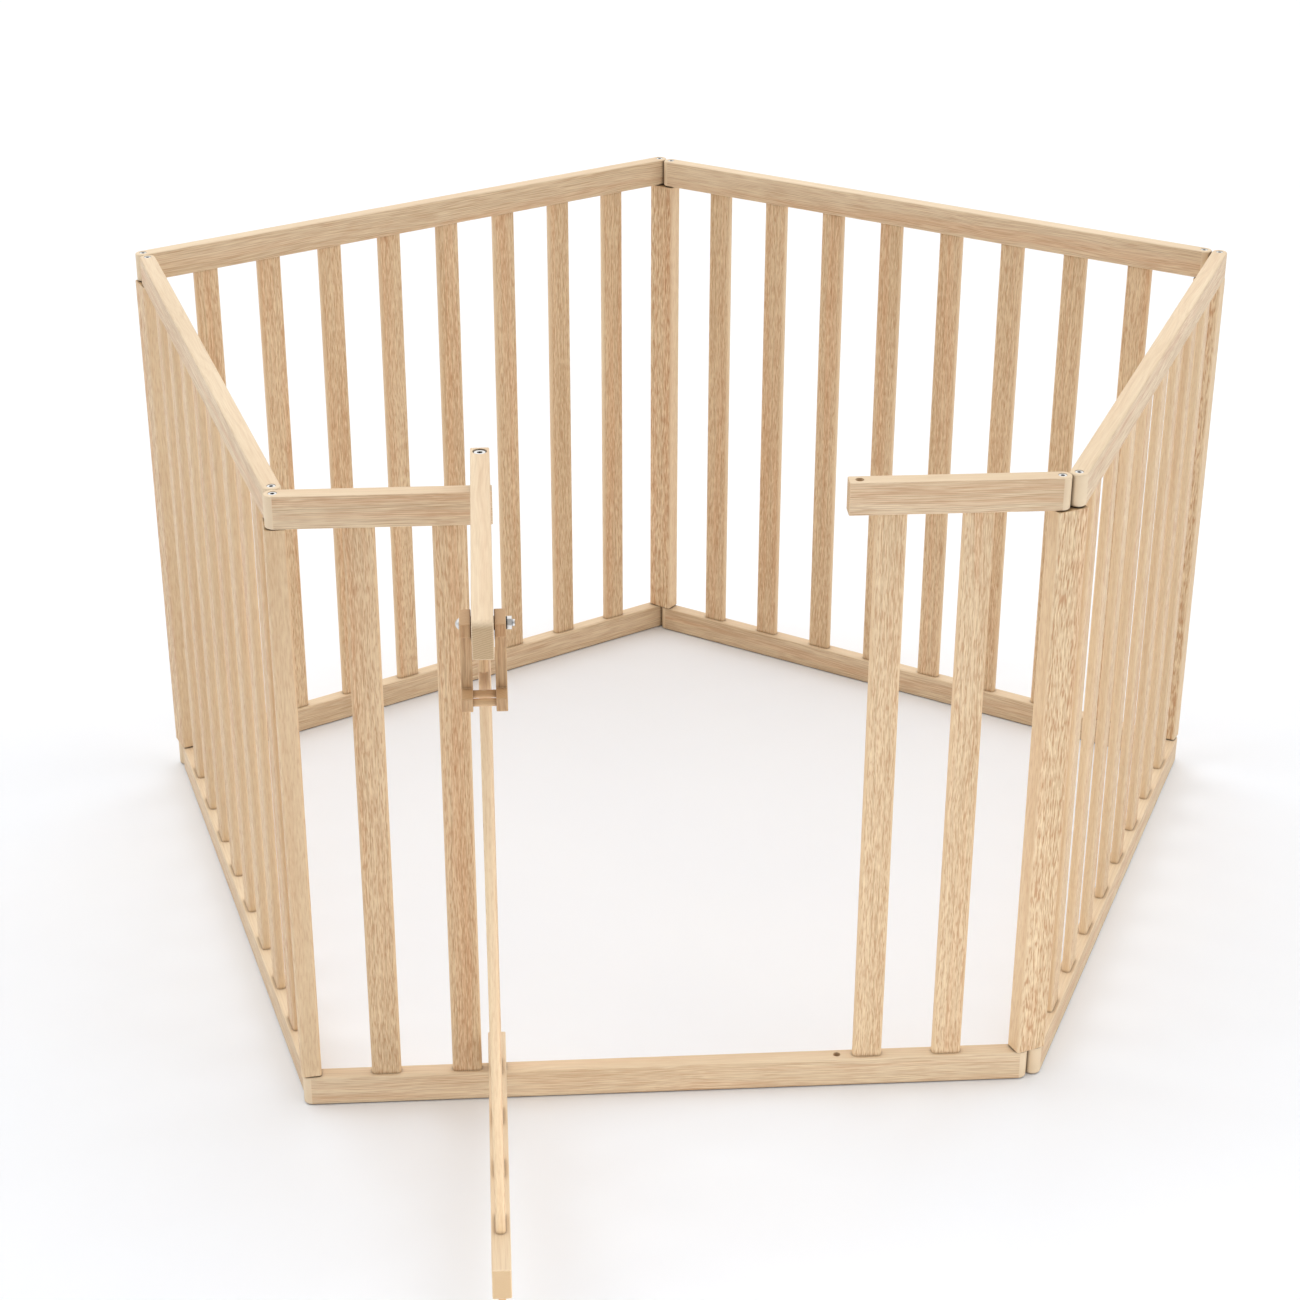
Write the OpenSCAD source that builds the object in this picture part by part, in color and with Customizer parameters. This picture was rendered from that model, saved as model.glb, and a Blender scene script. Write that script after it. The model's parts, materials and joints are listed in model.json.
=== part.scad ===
// Five-sided wooden playpen. Four full railings and a front railing with a doorway are joined
// by five corner posts, each with two upright pins, so that every corner can be set to any angle.
// The gate turns on a bolt and a pin, lifts off two locating pegs, and carries a hanging latch.
// The floor is z = 0, the doorway faces -Y, and the gate stands open at right angles.

/* [Railings] */
// Distance between the two corner pins of one railing
panel_len = 780; // [760:5:800]
// Height of the top of the railings above the floor
pen_h = 720; // [640:5:760]
// Height of a rail
rail_h = 35; // [32:1:38]
// Thickness of a rail
rail_t = 19; // [18:0.5:19]
// Radius along the edges of a rail
rail_edge_r = 2; // [1:0.5:3]

/* [Slats] */
// Number of slats in a full railing
slat_count = 8; // [6:1:8]
// Distance from slat to slat
slat_pitch = 88; // [84:1:90]
// Width of a slat
slat_w = 32; // [28:1:34]
// Thickness of a slat
slat_t = 10; // [9:0.5:11]
// Radius along the edges of a slat
slat_edge_r = 3.5; // [2:0.5:4]
// Depth of a slat's end in its rail
tenon_len = 15; // [10:1:18]

/* [Corner posts] */
// Distance between the two pins of a post
pin_gap = 19.6; // [19.4:0.1:21]
// Width of a post
post_w = 36; // [35:0.5:38]
// Thickness of a post
post_t = 22; // [19:0.5:24]
// Radius along the edges of a post
post_edge_r = 3; // [1:0.5:4]
// Thickness of the washers between a post and its rails
washer_h = 1; // [0.6:0.1:2]

/* [Plan] */
// Direction of the left railing, from the front left corner
left_dir = 105; // [104:0.1:107]
// Direction of the right railing, from the front right corner
right_dir = 65; // [63:0.1:66]
// Direction across the front left post, from its first pin to its second
front_left_turn = 97; // [92:1:104]
// Direction across the left post
left_turn = 113; // [104:1:120]
// Direction across the front right post
front_right_turn = 22; // [16:1:32]
// Direction across the right post
right_turn = 148; // [140:1:154]
// Direction across the rear post
rear_turn = 140; // [132:1:148]

/* [Gate] */
// Distance from the middle of the doorway to the hinge, and to the peg holes
gate_half = 187; // [186:1:189]
// Height of the spacers under the gate's rails
spacer_h = 4; // [3:0.5:5]
// Length of a gate rail past the hinge
gate_tail = 11; // [10:0.5:12]
// Length of a gate rail past the locating pegs
gate_nose = 15; // [13:0.5:16]
// Height that the gate lifts to free its pegs
gate_travel = 18; // [16:0.5:19]
// Depth of the locating pegs in their holes
peg_grip = 13; // [12:0.5:15]

/* [Latch] */
// Distance from the gate's hinge to the latch's pivot
latch_reach = 352.5; // [350:0.5:353]
// Height of a latch cheek
latch_h = 84; // [83:1:86]
// Length of a latch cheek's two arms
latch_len = 32; // [31:0.5:32]
// Height of the arms
arm_h = 13; // [12:0.5:14]
// Width of the upright part between the arms
web_w = 12; // [10:0.5:13]
// Thickness of a cheek
cheek_t = 10; // [9:0.5:12]
// Diameter of the two cross dowels
dowel_d = 7; // [6:0.5:8]
// Place of the front dowel, ahead of the pivot
front_dowel_x = 9.5; // [9:0.5:10]
// Place of the rear dowel. It clears the last slat when the latch tips back to free the gate
rear_dowel_x = -6.5; // [-6.5:0.5:-5]

/* [Hidden] */
$fn = 48;

// Fits, as gaps on the radius
run_gap = 0.05;
glue_gap = 0.1;
head_gap = 0.3;
peg_gap = 0.35;

// Corner bolts: a flush head with a hexagon socket, a shank, and a threaded insert in the post
bolt_r = 3;
bolt_head_r = 4.3;
bolt_head_h = 4;
bolt_sunk = 0.4;
socket_r = 2.3;
socket_depth = 2.6;
bolt_bite = 25;
insert_r = 5;
insert_len = 20;
insert_sunk = 0.5;
washer_r = 7.5;

// Gate hinge: a large headed bolt above, a plain pin below
hinge_r = 4;
hinge_head_r = 5.75;
hinge_head_h = 4;
hinge_head_sunk = 1;
hinge_socket_r = 3;
hinge_well_r = 7.5;
hinge_insert_r = 6;
hinge_insert_len = 22;
hinge_bite = 26;
pivot_bite = 22;
pivot_reach = 26;
spacer_r = 8.5;
peg_top_r = 4.15;
peg_bottom_r = 3.65;
peg_root = 18;

// Latch bolt: domed head, plain shank, nut and washer
latch_bolt_r = 3;
dome_r = 5;
dome_h = 3.2;
nut_across = 10;
nut_h = 4;
nut_washer_h = 1;
bolt_tip = 2.5;
cheek_washer_h = 0.5;
cheek_washer_r = 6.2;
cheek_corner_r = 1.5;
nose_r = 8;
end_corner_r = 1.5;

// Heights
top_z = pen_h - rail_h;
post_z = rail_h + washer_h;
post_h = pen_h - 2 * post_z;
slat_len = pen_h - 2 * rail_h + 2 * tenon_len;
gate_top_z = pen_h + spacer_h;
gate_bottom_z = rail_h + spacer_h;
gate_slat_len = gate_top_z - gate_bottom_z - rail_h + 2 * tenon_len;
latch_z = gate_top_z + rail_h / 2;

// Corner pins, worked out round the pen from the front railing
function heading(angle) = [cos(angle), sin(angle)];
front_l = [-panel_len / 2, 0];
front_r = [panel_len / 2, 0];
left_f = front_l + pin_gap * heading(front_left_turn);
left_b = left_f + panel_len * heading(left_dir);
rear_left_l = left_b + pin_gap * heading(left_turn);
right_f = front_r + pin_gap * heading(front_right_turn);
right_b = right_f + panel_len * heading(right_dir);
rear_right_r = right_b + pin_gap * heading(right_turn);

// The two rear railings meet where circles of one railing's length cross
rear_start = rear_right_r + pin_gap * heading(rear_turn);
rear_span = rear_left_l - rear_start;
rear_chord = norm(rear_span);
rear_rise = sqrt(panel_len * panel_len - rear_chord * rear_chord / 4);
rear_left_r = (rear_start + rear_left_l) / 2 + rear_rise / rear_chord * [rear_span[1], -rear_span[0]];
rear_right_l = rear_left_r - pin_gap * heading(rear_turn);

// Each railing runs between its two pins, and each post stands across its two pins
function bearing(a, b) = atan2(b[1] - a[1], b[0] - a[0]);
front_left_post_pins = [front_l, left_f];
left_post_pins = [left_b, rear_left_l];
rear_post_pins = [rear_left_r, rear_right_l];
right_post_pins = [rear_right_r, right_b];
front_right_post_pins = [right_f, front_r];
left_panel_pins = [left_f, left_b];
back_left_panel_pins = [rear_left_l, rear_left_r];
back_right_panel_pins = [rear_right_l, rear_right_r];
right_panel_pins = [right_b, right_f];

// The whole pen is centred on the origin by the reach of its corner posts and of the open gate
function post_mid(pins) = (pins[0] + pins[1]) / 2;
function post_reach(pins, axis) =
    let (u = heading(bearing(pins[0], pins[1])))
    abs(u[axis]) * (post_w / 2 - post_edge_r) + abs(u[1 - axis]) * (post_t / 2 - post_edge_r)
    + post_edge_r;
gate_len = 2 * gate_half + gate_nose;
min_x = post_mid(left_post_pins)[0] - post_reach(left_post_pins, 0);
max_x = post_mid(right_post_pins)[0] + post_reach(right_post_pins, 0);
max_y = post_mid(rear_post_pins)[1] + post_reach(rear_post_pins, 1);
centre = [(min_x + max_x) / 2, (max_y - gate_len) / 2];

// ---- frames of reference ----

// Puts the front railing's middle, at floor level, in its place
module in_pen() {
    translate([-centre[0], -centre[1], 0]) children();
}

// X runs from the first pin to the second, with the origin midway between them
module between(pins) {
    mid = post_mid(pins);
    in_pen() translate([mid[0], mid[1], 0]) rotate(bearing(pins[0], pins[1])) children();
}

// X runs along the open gate from its hinge, and Y across it
module on_gate() {
    in_pen() translate([-gate_half, 0, 0]) rotate(-90) children();
}

// Latch frame: X along the gate from the pivot, Y across the gate, Z up from the pivot
module on_latch() {
    on_gate() translate([latch_reach, 0, latch_z]) children();
}

// ---- shapes ----

// Rectangle with round corners, about its middle
module round_rect(w, d, r) {
    square([w - 2 * r, d], center = true);
    square([w, d - 2 * r], center = true);
    for (sx = [-1, 1], sy = [-1, 1])
        translate([sx * (w / 2 - r), sy * (d / 2 - r)]) circle(r = r);
}

// Straight rail along X, from one place to another, standing on z = 0
module rail_bar(from, to) {
    translate([from, 0, rail_h / 2]) rotate([90, 0, 90])
        linear_extrude(to - from) round_rect(rail_t, rail_h, rail_edge_r);
}

// Half-round rail end about a pin, on the side that side = 1 (+X) or -1 (-X) gives
module rail_end(side) {
    rotate(side > 0 ? -90 : 90) rotate_extrude(angle = 180)
        translate([0, rail_h / 2]) intersection() {
            round_rect(rail_t, rail_h, rail_edge_r);
            translate([0, -rail_h]) square(2 * rail_h);
        }
}

// Bore for a corner bolt: a running hole, and a recess for the head at the outer face
module bolt_bore(head_up) {
    translate([0, 0, -1]) cylinder(r = bolt_r + run_gap, h = rail_h + 2);
    recess = bolt_head_h + bolt_sunk;
    translate([0, 0, head_up ? rail_h - recess : -1])
        cylinder(r = bolt_head_r + head_gap, h = recess + 1);
}

// Pocket that a slat's end is glued into, sunk from z = 0 downwards
module slat_pocket() {
    translate([0, 0, -tenon_len]) linear_extrude(tenon_len + 1)
        round_rect(slat_w + 2 * glue_gap, slat_t + 2 * glue_gap, slat_edge_r + glue_gap);
}

// Pockets at a list of places along a rail, in its top face or in its bottom face
module slat_pockets(places, in_top) {
    for (x = places) translate([x, 0, in_top ? rail_h : 0]) mirror([0, 0, in_top ? 0 : 1])
        slat_pocket();
}

// Slat standing on z = 0
module slat(length) {
    linear_extrude(length) round_rect(slat_w, slat_t, slat_edge_r);
}

function slat_place(i) = (i - (slat_count - 1) / 2) * slat_pitch;
all_slats = [for (i = [0 : slat_count - 1]) slat_place(i)];
door_slats = [for (x = all_slats) if (abs(x) < gate_half) x];
side_slats = [for (x = all_slats) if (abs(x) > gate_half) x];

// ---- full railings ----

module panel_rail(pins, is_top) {
    color("burlywood") between(pins) translate([0, 0, is_top ? top_z : 0]) difference() {
        union() {
            rail_bar(-panel_len / 2, panel_len / 2);
            for (side = [-1, 1]) translate([side * panel_len / 2, 0, 0]) rail_end(side);
        }
        for (side = [-1, 1]) translate([side * panel_len / 2, 0, 0]) bolt_bore(is_top);
        slat_pockets(all_slats, !is_top);
    }
}

module panel_slats(pins) {
    color("wheat") between(pins) for (x = all_slats)
        translate([x, 0, rail_h - tenon_len]) slat(slat_len);
}

// ---- front railing ----

// Left or right top rail: half-round on its post, cut square at the doorway
module front_top_rail(side) {
    inner = gate_half - gate_tail;
    color("burlywood") in_pen() translate([0, 0, top_z]) difference() {
        union() {
            rail_bar(side > 0 ? inner : -panel_len / 2, side > 0 ? panel_len / 2 : -inner);
            translate([side * panel_len / 2, 0, 0]) rail_end(side);
        }
        translate([side * panel_len / 2, 0, 0]) bolt_bore(true);
        slat_pockets([for (x = side_slats) if (x * side > 0) x], false);
        if (side < 0) translate([-gate_half, 0, rail_h - hinge_bite - 2])
            cylinder(r = hinge_insert_r + glue_gap, h = hinge_bite + 3);
        if (side > 0) translate([gate_half, 0, rail_h - peg_grip - 2])
            cylinder(r = peg_top_r + peg_gap, h = peg_grip + 3);
    }
}

module front_bottom_rail() {
    color("burlywood") in_pen() difference() {
        union() {
            rail_bar(-panel_len / 2, panel_len / 2);
            for (side = [-1, 1]) translate([side * panel_len / 2, 0, 0]) rail_end(side);
        }
        for (side = [-1, 1]) translate([side * panel_len / 2, 0, 0]) bolt_bore(false);
        slat_pockets(side_slats, true);
        translate([-gate_half, 0, rail_h - pivot_bite])
            cylinder(r = hinge_r + run_gap, h = pivot_bite + 1);
        translate([gate_half, 0, rail_h - peg_grip - 2])
            cylinder(r = peg_bottom_r + peg_gap, h = peg_grip + 3);
    }
}

module front_slat(i) {
    color("wheat") in_pen() translate([side_slats[i], 0, rail_h - tenon_len]) slat(slat_len);
}

// ---- corner posts ----

// Repeats a piece at a post's two pins and mirrors it to the post's foot
module at_post_ends(pins, ends = [-1, 1]) {
    between(pins) for (end = ends) translate([end * pin_gap / 2, 0, 0]) {
        children();
        translate([0, 0, pen_h]) mirror([0, 0, 1]) children();
    }
}

module post(pins) {
    color("tan") difference() {
        between(pins) translate([0, 0, post_z])
            linear_extrude(post_h) round_rect(post_w, post_t, post_edge_r);
        at_post_ends(pins) translate([0, 0, post_z - 1])
            cylinder(r = insert_r + glue_gap, h = bolt_bite + 4);
    }
}

// Bolt that comes up from the floor through the bottom rail, with its socket underneath
module corner_bolt(length) {
    translate([0, 0, bolt_sunk]) difference() {
        union() {
            cylinder(r = bolt_head_r, h = bolt_head_h - run_gap);
            cylinder(r = bolt_r, h = length - bolt_sunk);
        }
        translate([0, 0, -1]) cylinder(r = socket_r, h = socket_depth + 1, $fn = 6);
    }
}

module post_bolts(pins, ends = [-1, 1]) {
    color("silver") at_post_ends(pins, ends) corner_bolt(post_z + bolt_bite);
}

module post_inserts(pins) {
    color("goldenrod") at_post_ends(pins) translate([0, 0, post_z + insert_sunk])
        difference() {
            cylinder(r = insert_r, h = insert_len);
            translate([0, 0, -1]) cylinder(r = bolt_r + run_gap, h = insert_len + 2);
        }
}

// Washers lie on the post's ends, with a running gap to the rails
module post_washers(pins) {
    color("dimgray") at_post_ends(pins) translate([0, 0, rail_h + run_gap]) difference() {
        cylinder(r = washer_r, h = washer_h - run_gap);
        translate([0, 0, -1]) cylinder(r = bolt_r + head_gap, h = washer_h + 2);
    }
}

// Rear corner's second pin: its bolts end inside the rails that they hold
module back_right_panel_bolts() {
    color("silver") at_post_ends(rear_post_pins, [1]) corner_bolt(rail_h);
}

// ---- gate hinge ----

module gate_hinge_bolt() {
    head_z = gate_top_z + rail_h - hinge_head_sunk - hinge_head_h;
    color("silver") on_gate() difference() {
        union() {
            translate([0, 0, head_z]) cylinder(r = hinge_head_r, h = hinge_head_h);
            translate([0, 0, pen_h - hinge_bite]) cylinder(r = hinge_r, h = head_z - pen_h + hinge_bite + 1);
        }
        translate([0, 0, head_z + 1]) cylinder(r = hinge_socket_r, h = hinge_head_h, $fn = 6);
    }
}

module gate_hinge_insert() {
    color("goldenrod") on_gate() translate([0, 0, pen_h - hinge_insert_len]) difference() {
        cylinder(r = hinge_insert_r, h = hinge_insert_len);
        translate([0, 0, -1]) cylinder(r = hinge_r + run_gap, h = hinge_insert_len + 2);
    }
}

module gate_pivot_pin() {
    color("silver") on_gate() translate([0, 0, rail_h - pivot_bite])
        cylinder(r = hinge_r, h = pivot_bite + spacer_h + pivot_reach);
}

module gate_spacers() {
    color("dimgray") on_gate() for (z = [rail_h, pen_h]) translate([0, 0, z]) difference() {
        cylinder(r = spacer_r, h = spacer_h);
        translate([0, 0, -1]) cylinder(r = hinge_r + run_gap, h = spacer_h + 2);
    }
}

// ---- gate ----

gate_slat_places = [for (x = door_slats) x + gate_half];
peg_reach = 2 * gate_half;

// Side view of a gate rail, with its own corner radii at the hinge end and at the free end's top
module gate_rail_outline(top_r) {
    x0 = -gate_tail;
    x1 = gate_len;
    r = end_corner_r;
    translate([x0, r]) square([gate_len + gate_tail, rail_h - r - top_r]);
    translate([x0 + r, 0]) square([gate_len + gate_tail - 2 * r, rail_h - r]);
    translate([x0 + r, r]) square([gate_len + gate_tail - r - top_r, rail_h - r]);
    translate([x0 + r, r]) circle(r = r);
    translate([x0 + r, rail_h - r]) circle(r = r);
    translate([x1 - r, r]) circle(r = r);
    translate([x1 - top_r, rail_h - top_r]) circle(r = top_r);
}

module gate_rail(top_r) {
    intersection() {
        rail_bar(-gate_tail - 1, gate_len + 1);
        translate([0, rail_t, 0]) rotate([90, 0, 0]) linear_extrude(2 * rail_t)
            gate_rail_outline(top_r);
    }
}

module gate_top_rail() {
    well_depth = hinge_head_sunk + hinge_head_h + gate_travel + 0.5;
    color("burlywood") on_gate() translate([0, 0, gate_top_z]) difference() {
        gate_rail(nose_r);
        translate([0, 0, -1]) cylinder(r = hinge_r + run_gap, h = rail_h + 2);
        translate([0, 0, rail_h - well_depth]) cylinder(r = hinge_well_r, h = well_depth + 1);
        translate([peg_reach, 0, -1]) cylinder(r = peg_top_r + glue_gap, h = peg_root + 1);
        translate([latch_reach, rail_t, rail_h / 2]) rotate([90, 0, 0])
            cylinder(r = latch_bolt_r + run_gap, h = 2 * rail_t);
        slat_pockets(gate_slat_places, false);
    }
}

module gate_bottom_rail() {
    color("burlywood") on_gate() translate([0, 0, gate_bottom_z]) difference() {
        gate_rail(end_corner_r);
        translate([0, 0, -1]) cylinder(r = hinge_r + run_gap, h = pivot_reach + 2);
        translate([peg_reach, 0, -1]) cylinder(r = peg_bottom_r + glue_gap, h = peg_root + 1);
        slat_pockets(gate_slat_places, true);
    }
}

module gate_slat(i) {
    color("wheat") on_gate() translate([gate_slat_places[i], 0, gate_bottom_z + rail_h - tenon_len])
        slat(gate_slat_len);
}

// Peg glued into the underside of a gate rail
module gate_peg(rail_z, r) {
    color("peru") on_gate() translate([peg_reach, 0, rail_z - spacer_h - peg_grip])
        cylinder(r = r, h = spacer_h + peg_grip + peg_root);
}

// ---- latch ----

cheek_in = rail_t / 2 + cheek_washer_h;
cheek_out = cheek_in + cheek_t;
dowel_z = arm_h - latch_h;

// Rectangle between two corners, with small round corners
module soft_box(x0, z0, x1, z1) {
    translate([(x0 + x1) / 2, (z0 + z1) / 2]) round_rect(x1 - x0, z1 - z0, cheek_corner_r);
}

// C outline that is open towards the gate's free end, about the pivot
module cheek_outline() {
    back = -latch_len / 2;
    front = latch_len / 2;
    top = arm_h / 2;
    bottom = top - latch_h;
    soft_box(back, bottom, back + web_w, top);
    soft_box(back, top - arm_h, front, top);
    soft_box(back, bottom, front, bottom + arm_h);
}

module latch_cheek(side) {
    color("burlywood") on_latch() difference() {
        translate([0, side > 0 ? cheek_out : -cheek_in, 0]) rotate([90, 0, 0])
            linear_extrude(cheek_t) cheek_outline();
        translate([0, cheek_out + 1, 0]) rotate([90, 0, 0])
            cylinder(r = latch_bolt_r + run_gap, h = 2 * cheek_out + 2);
        for (x = [rear_dowel_x, front_dowel_x]) translate([x, cheek_out + 1, dowel_z])
            rotate([90, 0, 0]) cylinder(r = dowel_d / 2 + run_gap, h = 2 * cheek_out + 2);
    }
}

module latch_dowel(x) {
    color("peru") on_latch() translate([x, cheek_out, dowel_z])
        rotate([90, 0, 0]) cylinder(d = dowel_d, h = 2 * cheek_out);
}

// Bolt across the gate: domed head on the hanging side's left, nut on its right
module latch_bolt() {
    reach = cheek_out + nut_washer_h + nut_h + bolt_tip;
    sphere_r = (dome_r * dome_r + dome_h * dome_h) / (2 * dome_h);
    color("silver") on_latch() {
        translate([0, reach, 0]) rotate([90, 0, 0]) cylinder(r = latch_bolt_r, h = reach + cheek_out);
        translate([0, -cheek_out, 0]) intersection() {
            translate([0, sphere_r - dome_h, 0]) sphere(r = sphere_r);
            rotate([90, 0, 0]) cylinder(r = dome_r, h = dome_h + 1);
        }
    }
}

module latch_nut() {
    color("gray") on_latch() translate([0, cheek_out + nut_washer_h + nut_h, 0]) rotate([90, 0, 0])
        difference() {
            cylinder(r = nut_across / sqrt(3), h = nut_h, $fn = 6);
            translate([0, 0, -1]) cylinder(r = latch_bolt_r + run_gap, h = nut_h + 2);
        }
}

module latch_washer(y, r, h) {
    translate([0, y + h, 0]) rotate([90, 0, 0]) difference() {
        cylinder(r = r, h = h);
        translate([0, 0, -1]) cylinder(r = latch_bolt_r + run_gap, h = h + 2);
    }
}

module latch_washers() {
    color("dimgray") on_latch() {
        latch_washer(rail_t / 2, cheek_washer_r, cheek_washer_h);
        latch_washer(-cheek_in, cheek_washer_r, cheek_washer_h);
        latch_washer(cheek_out, nut_across / 2 + 0.5, nut_washer_h);
    }
}

// ---- the whole pen ----

front_bottom_rail();
front_top_rail(-1);  // front_left_top_rail
front_top_rail(1);  // front_right_top_rail
front_slat(0);  // front_slat_1
front_slat(1);  // front_slat_2
front_slat(2);  // front_slat_3
front_slat(3);  // front_slat_4
gate_hinge_bolt();
gate_hinge_insert();
gate_pivot_pin();

post(front_left_post_pins);  // front_left_post
post_bolts(front_left_post_pins);  // front_left_bolts
post_inserts(front_left_post_pins);  // front_left_inserts
post_washers(front_left_post_pins);  // front_left_washers
post(left_post_pins);  // left_post
post_bolts(left_post_pins);  // left_bolts
post_inserts(left_post_pins);  // left_inserts
post_washers(left_post_pins);  // left_washers
post(rear_post_pins);  // rear_post
post_bolts(rear_post_pins, [-1]);  // rear_bolts
post_inserts(rear_post_pins);  // rear_inserts
post_washers(rear_post_pins);  // rear_washers
post(right_post_pins);  // right_post
post_bolts(right_post_pins);  // right_bolts
post_inserts(right_post_pins);  // right_inserts
post_washers(right_post_pins);  // right_washers
post(front_right_post_pins);  // front_right_post
post_bolts(front_right_post_pins);  // front_right_bolts
post_inserts(front_right_post_pins);  // front_right_inserts
post_washers(front_right_post_pins);  // front_right_washers

panel_rail(left_panel_pins, true);  // left_panel_top_rail
panel_rail(left_panel_pins, false);  // left_panel_bottom_rail
panel_slats(left_panel_pins);  // left_panel_slats
panel_rail(back_left_panel_pins, true);  // back_left_panel_top_rail
panel_rail(back_left_panel_pins, false);  // back_left_panel_bottom_rail
panel_slats(back_left_panel_pins);  // back_left_panel_slats
panel_rail(back_right_panel_pins, true);  // back_right_panel_top_rail
panel_rail(back_right_panel_pins, false);  // back_right_panel_bottom_rail
panel_slats(back_right_panel_pins);  // back_right_panel_slats
back_right_panel_bolts();
panel_rail(right_panel_pins, true);  // right_panel_top_rail
panel_rail(right_panel_pins, false);  // right_panel_bottom_rail
panel_slats(right_panel_pins);  // right_panel_slats

gate_spacers();
gate_top_rail();
gate_bottom_rail();
gate_slat(0);  // gate_slat_1
gate_slat(1);  // gate_slat_2
gate_slat(2);  // gate_slat_3
gate_slat(3);  // gate_slat_4
gate_peg(gate_top_z, peg_top_r);  // gate_top_peg
gate_peg(gate_bottom_z, peg_bottom_r);  // gate_bottom_peg

latch_cheek(-1);  // latch_left_cheek
latch_cheek(1);  // latch_right_cheek
latch_dowel(front_dowel_x);  // latch_front_dowel
latch_dowel(rear_dowel_x);  // latch_rear_dowel
latch_bolt();
latch_nut();
latch_washers();
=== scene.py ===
# %% [markdown]
# # A wooden playpen, board by board
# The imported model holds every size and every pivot. This file dresses it: each rail, slat and post
# becomes a board with sanded edges and its own grain, and each metal or nylon piece gets its finish.
# The frame is loaded first, so that everything that follows can be placed by it.
# %% Load the frame
import json
import bpy
import numpy as np
from mathutils import Matrix, Vector
from mathutils.geometry import tessellate_polygon


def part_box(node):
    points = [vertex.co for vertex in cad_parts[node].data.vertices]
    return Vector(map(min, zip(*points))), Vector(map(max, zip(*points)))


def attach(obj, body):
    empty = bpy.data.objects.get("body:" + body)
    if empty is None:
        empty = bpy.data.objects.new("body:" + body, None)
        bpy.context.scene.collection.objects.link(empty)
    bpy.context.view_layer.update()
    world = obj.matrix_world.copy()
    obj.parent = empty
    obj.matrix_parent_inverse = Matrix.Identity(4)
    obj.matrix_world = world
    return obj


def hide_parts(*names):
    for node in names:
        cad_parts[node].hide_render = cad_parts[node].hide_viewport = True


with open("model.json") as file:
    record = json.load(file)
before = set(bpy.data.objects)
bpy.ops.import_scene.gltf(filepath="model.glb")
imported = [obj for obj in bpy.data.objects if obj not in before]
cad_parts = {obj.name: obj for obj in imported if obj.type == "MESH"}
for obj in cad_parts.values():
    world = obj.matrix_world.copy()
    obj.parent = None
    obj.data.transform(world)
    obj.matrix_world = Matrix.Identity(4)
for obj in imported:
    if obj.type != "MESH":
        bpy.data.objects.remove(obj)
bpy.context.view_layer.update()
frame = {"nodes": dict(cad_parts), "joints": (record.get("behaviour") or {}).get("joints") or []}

# %% [markdown]
# ## Where the pins stand
# A railing turns on an upright pin at each end, so two pins are all that is needed to place it. The
# pins could be typed in again as numbers, but the joints of the frame already hold them. The rear
# corner's second pin is the one that the frame opens, so it is read from the bolts that stand there.
# %% Pins of the plan
pin = {j["name"]: np.array(j["pos_m"][:2]) for j in frame["joints"] if "pos_m" in j}
low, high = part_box("back_right_panel_bolts")
pin["rear_right"] = np.array([(low.x + high.x) / 2, (low.y + high.y) / 2])

railings = {
    "left": (pin["left_railing_turn"], pin["left_corner_turn"]),
    "back_left": (pin["back_left_railing_turn"], pin["rear_corner_turn"]),
    "back_right": (pin["rear_right"], pin["back_right_railing_turn"]),
    "right": (pin["right_corner_turn"], pin["right_railing_turn"]),
}
front = (pin["front_left_corner_turn"], pin["front_right_corner_turn"])
corners = {
    "front_left": (front[0], railings["left"][0]),
    "left": (railings["left"][1], railings["back_left"][0]),
    "rear": (railings["back_left"][1], railings["back_right"][0]),
    "right": (railings["back_right"][1], railings["right"][0]),
    "front_right": (railings["right"][1], front[1]),
}
pitch = np.linalg.norm(front[1] - front[0])
print("railing length between pins:", round(float(pitch), 4), "m")

# %% [markdown]
# ## The maker's sizes
# Every board comes from one of three stock sections: 35 x 19 mm for rails, 32 x 10 mm for slats and
# 36 x 22 mm for posts. Heights come from the frame, so a taller pen needs no change here.
# %% Stock sizes in metres
rail_h, rail_t, rail_edge = 0.035, 0.019, 0.002
slat_w, slat_t, slat_edge = 0.032, 0.010, 0.0035
post_w, post_t, post_edge = 0.036, 0.022, 0.003
slat_step, slat_count, tenon = 0.088, 8, 0.015
pen_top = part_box("left_panel_top_rail")[1].z
gate_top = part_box("gate_top_rail")[1].z
gate_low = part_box("gate_bottom_rail")[0].z
slat_places = (np.arange(slat_count) - (slat_count - 1) / 2) * slat_step
print("pen height:", round(pen_top, 4), "gate height:", round(gate_top, 4))

# %% [markdown]
# ## Outlines with round corners
# Planed stock never has a knife edge. An outline is a list of corners, and each corner is swapped for
# an arc that touches both of its sides. One function serves half-round rail ends, slat sections and
# the notched latch cheeks alike, because it also knows on which side a hollow corner has its centre.
# %% Round the corners of an outline
def arc_steps(turn, radius):
    """Steps of an arc: about one for each 1.2 mm of its length, and never fewer than 5."""
    return max(5, int(abs(turn) * radius / 0.0012))


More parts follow.
